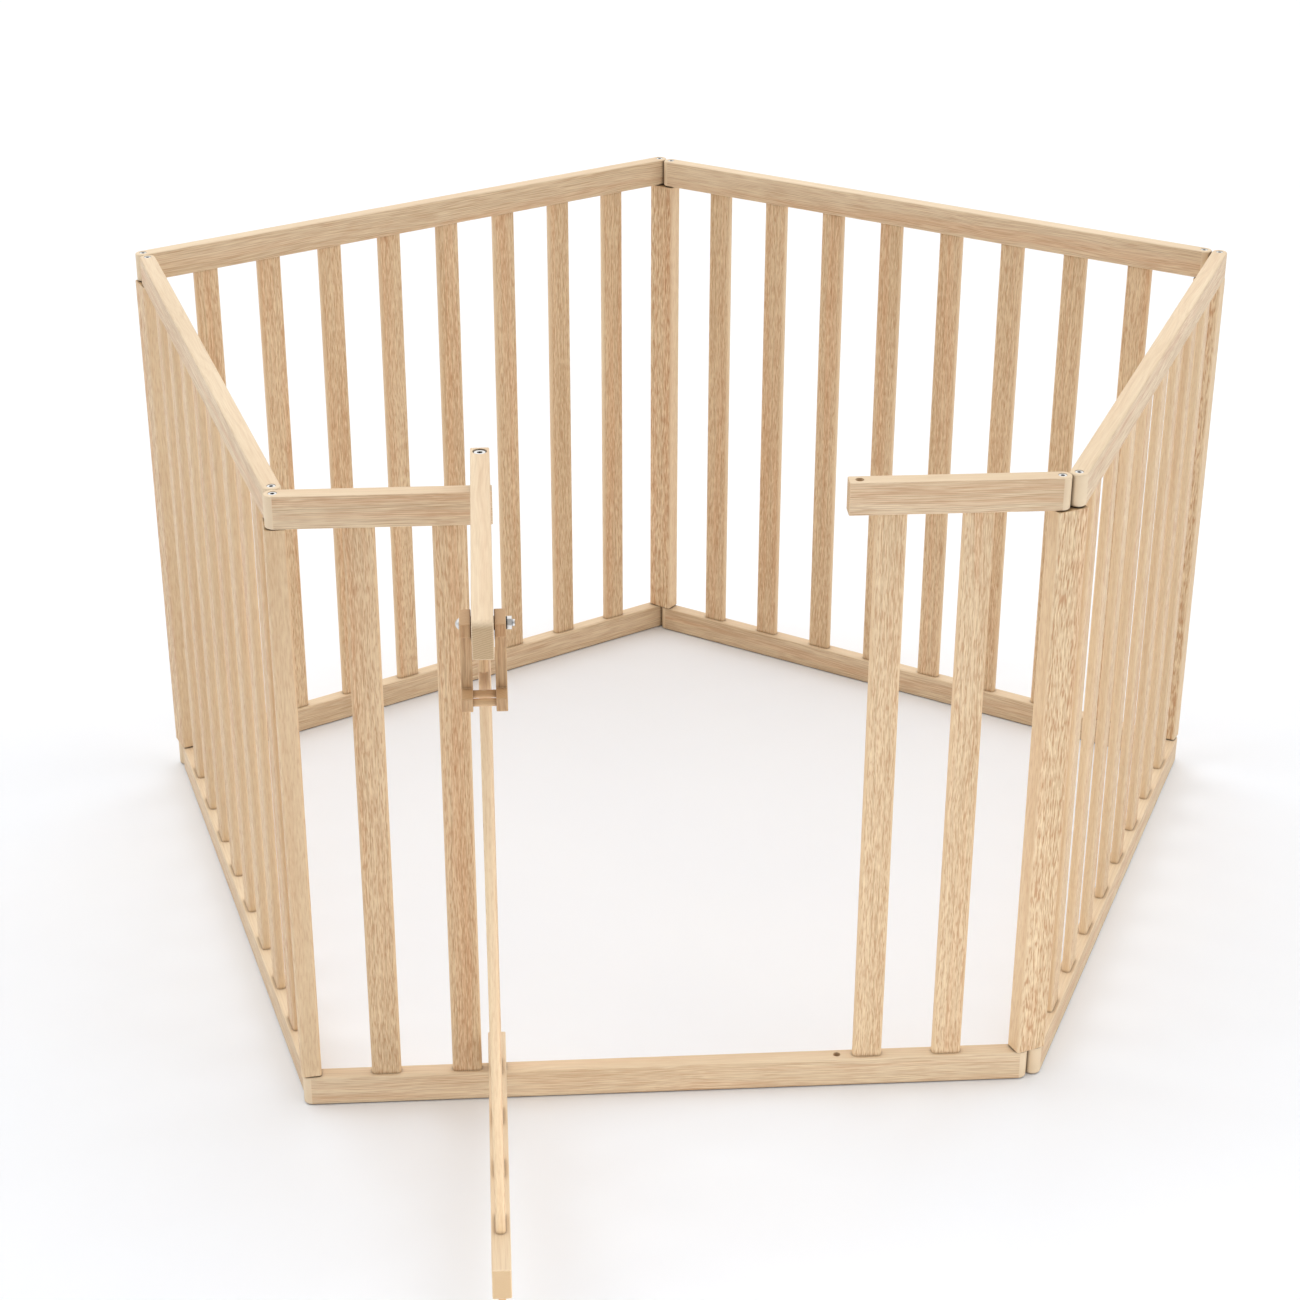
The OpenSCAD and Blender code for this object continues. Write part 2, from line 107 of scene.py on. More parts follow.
def rounded_outline(corner_list, radii):
    """Points and outward normals of a counter-clockwise outline.
    At a corner P with radius r and turn t the arc's centre is P - u r tan(t/2) + n r, where u is the
    way in and n its left normal, and the normal at angle a is (cos a, sin a), reversed in a hollow."""
    corner = np.asarray(corner_list, float)
    points, normals = [], []
    for p, before, after, r in zip(corner, np.roll(corner, 1, 0), np.roll(corner, -1, 0), radii):
        u = (p - before) / np.linalg.norm(p - before)
        v = (after - p) / np.linalg.norm(after - p)
        turn = np.arctan2(u[0] * v[1] - u[1] * v[0], u @ v)
        side = 1.0 if turn >= 0 else -1.0
        out = np.array([u[1], -u[0]])
        if r == 0 or abs(turn) < 1e-9:
            points.append(p[None])
            normals.append(out[None])
            continue
        centre = p - u * r * np.tan(abs(turn) / 2) - side * out * r
        first = np.arctan2(*(side * out)[::-1])
        a = first + np.linspace(0, turn, arc_steps(turn, r) + 1)
        ray = np.stack([np.cos(a), np.sin(a)], 1)
        points.append(centre + r * ray)
        normals.append(side * ray)
    points, normals = np.concatenate(points), np.concatenate(normals)
    keep = np.linalg.norm(points - np.roll(points, 1, 0), axis=1) > 1e-7
    return points[keep], normals[keep]


def box_corners(x0, y0, x1, y1):
    """The four corners of a rectangle, counter-clockwise."""
    return [(x0, y0), (x1, y0), (x1, y1), (x0, y1)]


trial, _ = rounded_outline(box_corners(-0.1, -0.0095, 0.1, 0.0095), [0.0095] * 4)
print("a half-round rail outline has", len(trial), "points")

# %% [markdown]
# ## Skins: the patches that make up a board
# A board is a closed skin of a few patches: the wall round its outline, a flat cap on each side, and
# the walls and floors of its holes. Each patch carries its own exact normals, so flat faces stay flat
# and edges stay round. Patches are welded afterwards wherever their points coincide.
# %% Patches
def grid_patch(points, normals):
    """Quads between the rows and columns of a grid (m, n, 3), turned to face along its normals."""
    m, n = points.shape[:2]
    at = np.arange(m * n).reshape(m, n)
    quads = np.stack([at[:-1, :-1], at[:-1, 1:], at[1:, 1:], at[1:, :-1]], -1).reshape(-1, 4)
    p, q = points.reshape(-1, 3), normals.reshape(-1, 3)
    facing = np.cross(p[quads[:, 2]] - p[quads[:, 0]], p[quads[:, 3]] - p[quads[:, 1]])
    if (facing * q[quads[:, 0]]).sum() < 0:
        quads = quads[:, ::-1]
    return {"p": p, "n": q, "faces": quads}


def cap_patch(loops, level, up):
    """Flat triangles at one level, inside the first loop and outside the others."""
    flat = np.concatenate(loops)
    tris = np.array(tessellate_polygon([[Vector((x, y, 0)) for x, y in loop] for loop in loops]))
    a, b, c = flat[tris[:, 0]], flat[tris[:, 1]], flat[tris[:, 2]]
    area = (b - a)[:, 0] * (c - a)[:, 1] - (b - a)[:, 1] * (c - a)[:, 0]
    turned = (area > 0) != (up > 0)
    tris[turned] = tris[turned][:, ::-1]
    tris = tris[np.abs(area) > 1e-13]
    p = np.column_stack([flat, np.full(len(flat), level)])
    return {"p": p, "n": np.tile([0.0, 0.0, up], (len(p), 1)), "faces": tris}


def ring(x, y, r, start=0.0, sweep=360.0):
    """Points on a circle about (x, y), 11.25 degrees apart, from a start angle over a sweep."""
    count = round(abs(sweep) / 11.25)
    a = np.radians(start + np.sign(sweep) * 11.25 * np.arange(count + (abs(sweep) < 360)))
    return np.stack([x + r * np.cos(a), y + r * np.sin(a)], 1)


def wall_patch(outline, normals, height, edge):
    """Wall round an outline. At tilt t the outline is drawn in by edge (1 - cos t), stands at
    edge + edge sin t below or height - edge + edge sin t above, and leans by t."""
    t = np.linspace(0, np.pi / 2, 6)
    tilt = np.concatenate([-t[::-1], t])[:, None, None]
    base = np.repeat([edge, height - edge], 6)[:, None, None]
    p, n = np.append(outline, outline[:1], 0)[None], np.append(normals, normals[:1], 0)[None]
    flat = p - n * edge * (1 - np.cos(tilt))
    level = base + edge * np.sin(tilt) + 0 * flat[..., :1]
    lean = np.concatenate([n * np.cos(tilt), np.sin(tilt) + 0 * flat[..., :1]], -1)
    return grid_patch(np.concatenate([flat, level], -1), lean)


def hole_patches(x, y, r, mouth, depth, up):
    """Wall and floor of a round blind hole that is sunk from one cap."""
    floor = mouth - up * depth
    circle = ring(x, y, r)
    closed = np.append(circle, circle[:1], 0)
    rows = np.stack([np.column_stack([closed, np.full(len(closed), z)]) for z in (mouth, floor)])
    inward = np.column_stack([(np.array([x, y]) - closed) / r, np.zeros(len(closed))])
    return [grid_patch(rows, np.stack([inward, inward])), cap_patch([circle], floor, up)]


print("a hole of 32 sides has", len(ring(0, 0, 1)), "rim points")

# %% [markdown]
# ## From patches to a board
# A finished board also has to tell its material where it is. Three numbers give the place inside the
# tree it was sawn from: along the grain, and two across it, measured from the pith. Each board gets a
# different place, so no two look the same. Three more say how far a point lies past the end pin, how
# much end grain it shows, and how much it belongs to a face with quieter grain that is also painted
# paler as a painted highlight; a last one marks the rounded edges, painted paler partly as wear and
# partly as a painted highlight.
# %% Boards
bench = np.random.default_rng(19)


def board(patches, along, across, calm_and_lit, pin_at=None):
    """One board from its patches. along, across and calm_and_lit are axes of its own frame: the grain's
    direction, the ring direction and the normal of the faces with quieter grain, which are also painted paler
    as a painted highlight."""
    starts = np.cumsum([0] + [len(s["p"]) for s in patches[:-1]])
    p, n = (np.concatenate([s[k] for s in patches]) for k in "pn")
    axes = np.eye(3)
    a, b, c = axes[along], axes[across], axes[3 - along - across]
    tree = np.array([bench.uniform(0, 9), bench.uniform(0.07, 0.15), bench.uniform(0.02, 0.06)])
    grain = p @ np.stack([a, b, c], 1) + tree * [1, bench.choice([-1, 1]), 1]
    past = np.full(len(p), -1.0) if pin_at is None else np.abs(p[:, 0] - pin_at[1]) - pin_at[0]
    square = n * n
    # worn_lit_edge peaks on the rounded edges, which are painted paler partly as wear and partly as a painted
    # highlight
    worn_lit_edge = 4 * (square[:, 0] * square[:, 1] + square[:, 1] * square[:, 2] + square[:, 2] * square[:, 0])
    return {
        "p": p, "n": n, "grain": grain, "worn_lit_edge": np.clip(worn_lit_edge, 0, 1),
        # the third number marks the faces with quieter grain, which the wood also paints paler as a painted
        # highlight
        "finish": np.stack([past, np.abs(n @ a), np.abs(n[:, calm_and_lit])], 1),
        "faces": [s["faces"] + k for s, k in zip(patches, starts)],
    }


def placed(one, turn=0.0, shift=(0, 0, 0), basis=None):
    """The board turned about the upright axis and moved. basis first maps its frame to the room's."""
    c, s = np.cos(turn), np.sin(turn)
    m = np.array([[c, -s, 0], [s, c, 0], [0, 0, 1]]) @ (np.eye(3) if basis is None else basis)
    return {**one, "p": one["p"] @ m.T + shift, "n": one["n"] @ m.T}


print("board stock ready")

# %% [markdown]
# ## Putting boards on the scene
# Welding is a sort: points that agree to a micrometre become one vertex. The normals are kept for
# each face corner, so the weld closes the skin without smoothing it.
# %% Make a piece
def make_piece(name, boards, body, nodes, material):
    """Joins boards into one closed mesh, which rides on a body and stands for its CAD nodes."""
    starts = np.cumsum([0] + [len(b["p"]) for b in boards[:-1]])
    p, n, grain, worn_lit_edge, finish = (
        np.concatenate([b[k] for b in boards]) for k in ("p", "n", "grain", "worn_lit_edge", "finish"))
    faces = [f + k for b, k in zip(boards, starts) for f in b["faces"]]
    group = np.repeat(np.arange(len(boards)), [len(b["p"]) for b in boards])
    key = np.column_stack([np.round(p * 1e6).astype(np.int64), group])
    _, first, weld = np.unique(key, axis=0, return_index=True, return_inverse=True)
    weld = weld.ravel()
    corner = np.concatenate([f.ravel() for f in faces])
    mesh = bpy.data.meshes.new(name)
    mesh.from_pydata(p[first].tolist(), [], [f for part in faces for f in weld[part].tolist()])
    mesh.polygons.foreach_set("use_smooth", np.ones(len(mesh.polygons), bool))
    for label, kind, field, data in (
            ("grain", "FLOAT_VECTOR", "vector", grain), ("finish", "FLOAT_VECTOR", "vector", finish),
            ("worn_lit_edge", "FLOAT", "value", worn_lit_edge)):
        layer = mesh.attributes.new(label, kind, "POINT")
        layer.data.foreach_set(field, data[first].astype(np.float32).ravel())
    mesh.normals_split_custom_set((n / np.linalg.norm(n, axis=1)[:, None])[corner].tolist())
    mesh.materials.append(material)
    piece = bpy.data.objects.new(name, mesh)
    bpy.context.scene.collection.objects.link(piece)
    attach(piece, body)
    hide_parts(*nodes)
    return piece


print("pieces are welded to 0.001 mm")

# %% [markdown]
# ## Colour and nodes
# Paint charts and screens give colours as sRGB hex, but a renderer adds up light in linear numbers.
# One function converts, and one function adds any shader node with its settings and its links.
# %% Two small helpers
def linear(code):
    """sRGB hex to linear RGBA: c/12.92 below 0.04045, else ((c + 0.055)/1.055) to the power 2.4."""
    c = np.array([int(code[i:i + 2], 16) for i in (1, 3, 5)]) / 255
    c = np.where(c <= 0.04045, c / 12.92, ((c + 0.055) / 1.055) ** 2.4)
    return (*c.tolist(), 1.0)


def add(tree, kind, inputs=None, **settings):
    """Adds a node; inputs maps a socket's name or number to a value or to another node's output."""
    node = tree.nodes.new(kind)
    for key, value in settings.items():
        setattr(node, key, value)
    for key, value in (inputs or {}).items():
        if isinstance(value, bpy.types.NodeSocket):
            tree.links.new(value, node.inputs[key])
        else:
            node.inputs[key].default_value = value
    return node


def new_material(name):
    """An empty node material with its output node."""
    material = bpy.data.materials.new(name)
    material.use_nodes = True
    material.node_tree.nodes.clear()
    return material, material.node_tree, material.node_tree.nodes.new("ShaderNodeOutputMaterial")


print("pale sapwood in linear light:", [round(v, 3) for v in linear("#F0D5AC")[:3]])

# %% [markdown]
# ## Oiled ash
# Ash is a ring-porous wood: each year starts with a line of wide pores and ends in dense pale wood.
# Sawn along the trunk this shows as wavy lines, and the cut pores as short reddish dashes. An image
# could be wrapped round each board, but a solid pattern is better here: it runs through the board, so
# faces, edges and ends agree as they do in real wood. The rings are circles about the pith, bent by
# slow noise; the fibres and pores are noise that is stretched about forty times along the grain.
# Real pores are 0.3 mm wide, too fine to show from across a room, so they are drawn about 1 mm wide.
# %% The wood material
def ash(name, ring_mm, dash_mm, lines, dashes, tint="#FFFFFF"):
    """Solid wood in the board's own coordinates. ring_mm is the width of a year's growth, dash_mm the
    spacing of the pore marks along and across, and lines and dashes how strongly each shows."""
    material, tree, out = new_material(name)
    place = add(tree, "ShaderNodeAttribute", attribute_name="grain").outputs["Vector"]
    finish = add(tree, "ShaderNodeAttribute", attribute_name="finish").outputs["Vector"]
    finish = add(tree, "ShaderNodeSeparateXYZ", {0: finish}).outputs
    worn_lit_edge = add(tree, "ShaderNodeAttribute", attribute_name="worn_lit_edge").outputs["Fac"]

    def noise(vector, along, across, detail, rough=0.5):
        """Noise with one mark for each 1/along metre along the grain and each 1/across across it."""
        stretched = add(tree, "ShaderNodeVectorMath", {0: vector, 1: (along, across, across)},
                        operation="MULTIPLY").outputs[0]
        return add(tree, "ShaderNodeTexNoise",
                   {"Vector": stretched, "Scale": 1.0, "Detail": detail, "Roughness": rough})

    def span(value, low_in, high_in, low_out=0.0, high_out=1.0):
        """A value spread linearly from one range to another, and held at its ends."""
        return add(tree, "ShaderNodeMapRange", {
            0: value, 1: low_in, 2: high_in, 3: low_out, 4: high_out}, clamp=True).outputs[0]

    def times(a, b):
        return add(tree, "ShaderNodeMath", {0: a, 1: b}, operation="MULTIPLY").outputs[0]

    def blend(amount, under, over):
        return add(tree, "ShaderNodeMix", {0: amount, 6: under, 7: over},
                   data_type="RGBA").outputs[2]

    # the grain wanders by about 2 mm over a hand's breadth
    drift = noise(place, 6.0, 16.0, 1.0).outputs["Color"]
    drift = add(tree, "ShaderNodeVectorMath", {0: drift, 1: (0.5, 0.5, 0.5)}, operation="SUBTRACT").outputs[0]
    bent = add(tree, "ShaderNodeVectorMath", {0: drift, 1: (0.0, 0.009, 0.009), 2: place},
               operation="MULTIPLY_ADD").outputs[0]

    flat = add(tree, "ShaderNodeVectorMath", {0: bent, 1: (0.04, 1, 1)}, operation="MULTIPLY").outputs[0]
    years = add(tree, "ShaderNodeTexWave", {
        "Vector": flat, "Scale": 0.314 / (ring_mm / 1000), "Distortion": 3.5, "Detail": 2.0,
        "Detail Scale": 0.9, "Detail Roughness": 0.6}, wave_type="RINGS", rings_direction="X",
        wave_profile="SIN").outputs["Fac"]
    fibre = noise(bent, 16.0, 850.0, 3.0, 0.65).outputs["Fac"]
    length, width = dash_mm
    pores = noise(bent, 1000 / length, 1000 / width, 1.5).outputs["Fac"]
    slow = noise(place, 2.2, 24.0, 2.0).outputs["Fac"]
    patchy = noise(bent, 4.0, 170.0, 1.0).outputs["Fac"]
    warm = noise(bent, 1.6, 75.0, 1.0).outputs["Color"]
    warm = add(tree, "ShaderNodeSeparateColor", {0: warm}).outputs[1]

    plain = span(finish[0], 0.0001, 0.0004)
    # calm_and_lit: the half-round ends and the faces with quieter grain, which are also given a painted
    # highlight below
    calm_and_lit = add(tree, "ShaderNodeMath", {0: plain, 1: span(finish[2], 0.4, 0.9, 0.0, 0.62)},
               operation="MAXIMUM").outputs[0]
    lively = span(calm_and_lit, 0.0, 1.0, 1.0, 0.12)

    wood = blend(span(slow, 0.32, 0.68), linear("#DBC09C"), linear("#EED7B6"))
    wood = blend(times(times(span(warm, 0.48, 0.70), 0.50), lively), wood, linear("#DFAE84"))
    rings = times(times(span(years, 0.45, 1.0), span(patchy, 0.34, 0.62, 0.15, 1.0)), lines)
    wood = blend(times(rings, lively), wood, linear("#AC8A64"))
    wood = blend(times(times(span(fibre, 0.47, 0.72), 0.52), lively), wood, linear("#BB9570"))
    wood = blend(times(times(span(fibre, 0.50, 0.30), 0.55), lively), wood, linear("#F6E0BB"))
    marks = times(span(pores, 0.53, 0.64), lively)
    wood = blend(times(marks, dashes), wood, linear("#BC8459"))
    wood = blend(times(times(span(pores, 0.45, 0.34), dashes), lively), wood, linear("#FAE7C6"))
    ends = blend(span(years, 0.25, 1.0), linear("#CFB189"), linear("#BF9F76"))
    cut = times(span(finish[1], 0.6, 0.95), span(plain, 0.0, 1.0, 1.0, 0.0))
    wood = blend(times(cut, 0.88), wood, ends)
    # painted highlight: the faces with quieter grain, such as rail tops and slat edges, and the half-round
    # ends are painted paler
    wood = blend(times(calm_and_lit, 0.45), wood, linear("#F2DCBC"))
    # the rounded edges are painted paler, partly as wear and partly as a painted highlight
    wood = blend(times(worn_lit_edge, 0.35), wood, linear("#F4DDBC"))
    # painted shade: within 5 mm of a joint or crevice the wood is darkened, as shade falls there
    open_sky = add(tree, "ShaderNodeAmbientOcclusion", {"Distance": 0.005}, samples=6).outputs["AO"]
    wood = blend(span(open_sky, 0.85, 0.35, 0.0, 0.62), wood, linear("#4E3624"))
    wood = add(tree, "ShaderNodeMix", {0: 1.0, 6: wood, 7: linear(tint)}, data_type="RGBA",
               blend_type="MULTIPLY").outputs[2]

    relief = add(tree, "ShaderNodeMath", {0: fibre, 1: marks}, operation="SUBTRACT").outputs[0]
    bump = add(tree, "ShaderNodeBump", {"Height": relief, "Strength": 0.22, "Distance": 0.0004})
    shader = add(tree, "ShaderNodeBsdfPrincipled", {
        "Base Color": wood, "Roughness": span(fibre, 0.3, 0.7, 0.46, 0.66), "IOR": 1.5,
        "Normal": bump.outputs[0]})
    tree.links.new(shader.outputs[0], out.inputs[0])
    return material


rail_wood = ash("ash_rail_planed_and_oiled", 1.9, (34, 1.4), 0.46, 0.26)
slat_wood = ash("ash_slat_moulded_and_oiled", 5.5, (11, 1.2), 0.26, 0.50, "#FFFAF2")
post_wood = ash("ash_post_moulded_and_oiled", 6.5, (13, 1.7), 0.24, 0.68, "#FFFAF2")
# the cheeks' darker tint is a painted shade laid over the whole cheek
shaded_cheek_wood = ash("ash_cheek_sawn_oiled_painted_shade", 2.6, (14, 1.2), 0.40, 0.25, "#E2D0BC")
dowel_wood = ash("beech_dowel_turned", 2.2, (6, 1.0), 0.30, 0.35, "#E8D6C0")
print("woods:", rail_wood.name, slat_wood.name, post_wood.name)

# %% [markdown]
# ## Rails
# A rail is a flat bar that ends in a half circle about each corner pin, so that neighbouring rails
# can turn past each other. It could be a box with a Bevel modifier, but the half-round end, the edge
# round and the sunk bolt seat all meet within a few millimetres, and a worked-out skin gets every one
# of them exact. The cap is cut in three at the pins, where the turned end meets the planed bar.
# %% Rail skins
seat_r, seat_depth = 0.0046, 0.0044


def cap_loops(edge_loop, round_at, seat):
    """Outer loops of a cap: the part between the pins, then each half-round end. A seat's circle is
    shared between the two, half each."""
    loops = []
    inner = (edge_loop[:, 0] > round_at[0] - 1e-9) & (edge_loop[:, 0] < round_at[1] + 1e-9)
    middle = edge_loop[inner]
    below, above = middle[middle[:, 1] < 0], middle[middle[:, 1] > 0]
    below, above = below[np.argsort(below[:, 0])], above[np.argsort(-above[:, 0])]
    parts = [below]
    if np.isfinite(round_at[1]):
        parts.append(ring(round_at[1], 0, seat, -90, -180) if seat else np.zeros((0, 2)))
        cap = edge_loop[edge_loop[:, 0] > round_at[1] - 1e-9]
        cap = cap[np.argsort(np.arctan2(cap[:, 1], cap[:, 0] - round_at[1]))]
        loops.append(np.concatenate([cap, ring(round_at[1], 0, seat, 90, -180)]) if seat else cap)
    parts.append(above)
    if np.isfinite(round_at[0]):
        parts.append(ring(round_at[0], 0, seat, 90, -180) if seat else np.zeros((0, 2)))
        cap = edge_loop[edge_loop[:, 0] < round_at[0] + 1e-9]
        cap = cap[np.argsort(np.arctan2(cap[:, 1], round_at[0] - cap[:, 0]))]
        loops.append(np.concatenate([cap, ring(round_at[0], 0, seat, 90, 180)]) if seat else cap)
    return [np.concatenate(parts)] + loops


def rail(x0, x1, round_ends=(True, True), seats_up=True, holes=(), holes_up=True):
    """Rail along X between its pins or cut ends, on z = 0. holes are (x, radius, depth)."""
    w = rail_t / 2
    start, stop = x0 - w * round_ends[0], x1 + w * round_ends[1]
    r0, r1 = (w if e else 0.0012 for e in round_ends)
    outline, normals = rounded_outline(box_corners(start, -w, stop, w), [r0, r1, r1, r0])
    inset = rail_edge if all(round_ends) else rail_edge / 2
    patches = [wall_patch(outline, normals, rail_h, inset)]
    loop = outline - normals * inset
    round_at = (x0 if round_ends[0] else -np.inf, x1 if round_ends[1] else np.inf)
    for up, level in ((1, rail_h), (-1, 0.0)):
        seat = seat_r if (up > 0) == seats_up else None
        loops = cap_loops(loop, round_at, seat)
        here = holes if (up > 0) == holes_up else ()
        patches.append(cap_patch([loops[0]] + [ring(x, 0, r) for x, r, _ in here], level, up))
        patches += [cap_patch([end], level, up) for end in loops[1:]]
        pits = [(x, r, d) for x, r, d in here]
        pits += [(x, seat_r, seat_depth) for x in round_at if seat and np.isfinite(x)]
        for x, r, depth in pits:
            patches += hole_patches(x, 0, r, level, depth, up)
    middle, reach = (x0 + x1) / 2, (x1 - x0) / 2
    if not all(round_ends):
        middle, reach = (x1, x1 - x0) if round_ends[0] else (x0, x1 - x0)
    return board(patches, 0, 2, 2, (reach, middle))


def between(one, pins, z=0.0):
    """A board made about its own middle, set midway between two pins and in line with them."""
    a, b = pins
    return placed(one, np.arctan2(*(b - a)[::-1]), (*((a + b) / 2), z))


for side, pins in railings.items():
    for level, z in (("top", pen_top - rail_h), ("bottom", 0.0)):
        bar = rail(-pitch / 2, pitch / 2, seats_up=level == "top")
        make_piece(f"{side}_{level}_rail", [between(bar, pins, z)], f"{side}_railing",
                   [f"{side}_panel_{level}_rail"], rail_wood)
print("full rails:", 2 * len(railings))

# %% [markdown]
# ## The front rails and the doorway
# The front bottom rail runs right across the doorway, while the top rail is sawn into two stubs. The
# right stub and the bottom rail each have an open hole that takes a peg of the gate when it is shut.
# %% Front rails
hinge = pin["gate_swing"]
door_half = float((front[0][0] + front[1][0]) / 2 - hinge[0])
stub_end = door_half - 0.011
bar = rail(-pitch / 2, pitch / 2, seats_up=False, holes=[(door_half, 0.0040, 0.015)])
make_piece("front_lower_rail", [between(bar, front)], "front_railing", ["front_bottom_rail"],
           rail_wood)
bar = rail(-pitch / 2, -stub_end, (True, False))
make_piece("front_left_stub_rail", [between(bar, front, pen_top - rail_h)], "front_railing",
           ["front_left_top_rail"], rail_wood)
bar = rail(stub_end, pitch / 2, (False, True), holes=[(door_half, 0.0045, 0.015)])
make_piece("front_right_stub_rail", [between(bar, front, pen_top - rail_h)], "front_railing",
           ["front_right_top_rail"], rail_wood)
print("doorway between stubs:", round(2 * stub_end, 4), "m")

# %% [markdown]
# ## Slats and posts
# Slats and posts are lengths of moulded stock, so their outline is their section and the grain runs
# up it. Each slat of a railing is a board of its own, glued into the rails at both ends.
# %% Slats and posts
def upright(width, thickness, edge, z0, z1, end_edge):
    """A length of stock from z0 to z1, with its section's corners rounded."""
    outline, normals = rounded_outline(
        box_corners(-width / 2, -thickness / 2, width / 2, thickness / 2), [edge] * 4)
    loop = outline - normals * end_edge
    height = z1 - z0
    patches = [wall_patch(outline, normals, height, end_edge),
               cap_patch([loop], height, 1), cap_patch([loop], 0.0, -1)]
    return placed(board(patches, 2, 0, 0), shift=(0, 0, z0))


def slat_at(x, z0, z1):
    return placed(upright(slat_w, slat_t, slat_edge, z0, z1, 0.0008), shift=(x, 0, 0))


slat_span = (rail_h - tenon, pen_top - rail_h + tenon)
for side, pins in railings.items():
    slats = [between(slat_at(x, *slat_span), pins) for x in slat_places]
    make_piece(f"{side}_slats", slats, f"{side}_railing", [f"{side}_panel_slats"], slat_wood)
fixed = [x for x in slat_places if abs(x) > door_half]
for i, x in enumerate(fixed, 1):
    make_piece(f"front_upright_{i}", [between(slat_at(x, *slat_span), front)], "front_railing",
               [f"front_slat_{i}"], slat_wood)
for corner, pins in corners.items():
    low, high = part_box(f"{corner}_post")
    stock = upright(post_w, post_t, post_edge, low.z, high.z, 0.0008)
    make_piece(f"{corner}_corner_post", [between(stock, pins)], f"{corner}_corner",
               [f"{corner}_post"], post_wood)
print("slats:", 4 * slat_count + len(fixed), "posts:", len(corners))

# %% [markdown]
# ## The gate
# The gate's rails have a side view of their own: small corners at the hinge and, on the top rail, a
# large round nose that spares the fingers. So they are outlined from the side and the wall runs round
# the edges. A deep round well in the top hides the hinge bolt's head; its mouth is cut in the strip
# between the two rounded edges, as a drill would cut it.
# %% Gate rails
gate_length = float(hinge[1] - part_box("gate_top_rail")[0].y)
gate_tail = 0.011
gate_basis = np.array([[0, 0, -1], [-1, 0, 0], [0, 1, 0]], float)
well_r, well_depth = 0.0072, 0.0235


def gate_rail(nose, well):
    """Gate rail in its own frame: X from the hinge to the free end, Y up, Z across."""
    a0, a1, gap = -gate_tail, gate_length, 0.0085
    corner_list = [(a0, 0), (a1, 0), (a1, rail_h), (gap, rail_h), (-gap, rail_h), (a0, rail_h)]
    outline, normals = rounded_outline(corner_list, [0.0015, 0.0015, nose, 0, 0, 0.0015])
    loop = outline - normals * 0.0014
    wall = wall_patch(outline, normals, rail_t, 0.0014)
    patches = [wall, cap_patch([loop], rail_t, 1), cap_patch([loop], 0.0, -1)]
    if well:
        middle = wall["p"][wall["faces"]].mean(1)
        over_well = (np.abs(middle[:, 0]) < gap) & (middle[:, 1] > rail_h - 1e-6)
        wall["faces"] = wall["faces"][~(over_well & (np.abs(middle[:, 2] - rail_t / 2) < 0.001))]
        lip = np.array(box_corners(-gap, 0.0014, gap, rail_t - 0.0014))
        mouth = [cap_patch([lip, ring(0, rail_t / 2, well_r)], rail_h, 1)]
        mouth += hole_patches(0, rail_t / 2, well_r, rail_h, well_depth, 1)
        for patch in mouth:
            patch["p"] = patch["p"][:, [0, 2, 1]]
            patch["n"] = patch["n"][:, [0, 2, 1]]
            patch["faces"] = patch["faces"][:, ::-1]
        patches += mouth
    return board(patches, 0, 1, 1)


def on_gate(one, x=0.0, z=0.0):
    """Sets a gate board in place: its X points from the hinge to the open end, its Z across."""
    return placed(one, 0.0, (hinge[0] + rail_t / 2, hinge[1] - x, z), gate_basis)


make_piece("gate_upper_rail", [on_gate(gate_rail(0.008, True), z=gate_top - rail_h)], "gate",
           ["gate_top_rail"], rail_wood)
make_piece("gate_lower_rail", [on_gate(gate_rail(0.0015, False), z=gate_low)], "gate",
           ["gate_bottom_rail"], rail_wood)
hung = [x + door_half for x in slat_places if abs(x) < door_half]
for i, x in enumerate(hung, 1):
    stock = slat_at(0, gate_low + rail_h - tenon, gate_top - rail_h + tenon)
    make_piece(f"gate_upright_{i}", [placed(stock, -np.pi / 2, (hinge[0], hinge[1] - x, 0))], "gate",
               [f"gate_slat_{i}"], slat_wood)
print("gate length from the hinge:", round(gate_length, 4), "m")

# %% [markdown]
# ## The latch
# Two C-shaped cheeks hang on one bolt through the gate's top rail, joined low down by two dowels.
# When the gate shuts, the end of the fixed rail comes in between the arms and the front dowel drops
# below it. A bandsaw cuts such a shape, so the hollow corners keep a small radius.
# %% Latch cheeks and dowels
pivot = np.array(next(j["pos_m"] for j in frame["joints"] if j["name"] == "latch_swing"))
latch_h, latch_len, arm_h, web_w, cheek_t = 0.084, 0.032, 0.013, 0.012, 0.010
cheek_gap = rail_t / 2 + 0.0005


def cheek():
    """C-shaped cheek: X towards the gate's free end, Y up from the pivot, Z through it."""
    back, front_x, top = -latch_len / 2, latch_len / 2, arm_h / 2
    low_y, web = top - latch_h, -latch_len / 2 + web_w
    shape = [(back, low_y), (front_x, low_y), (front_x, low_y + arm_h), (web, low_y + arm_h),
             (web, top - arm_h), (front_x, top - arm_h), (front_x, top), (back, top)]
    outline, normals = rounded_outline(shape, [0.0015, 0.0015, 0.0015, 0.001, 0.001, 0.0015, 0.0015, 0.0015])
    loop = outline - normals * 0.0009
    patches = [wall_patch(outline, normals, cheek_t, 0.0009),
               cap_patch([loop], cheek_t, 1), cap_patch([loop], 0.0, -1)]
    return board(patches, 1, 0, 1)


def dowel(radius, length):
    """Round peg along its own Z, with a small round on its ends."""
    outline, normals = ring(0, 0, radius), ring(0, 0, 1)
    loop = outline - normals * 0.0006
    patches = [wall_patch(outline, normals, length, 0.0006),
               cap_patch([loop], length, 1), cap_patch([loop], 0.0, -1)]
    return board(patches, 2, 0, 0)


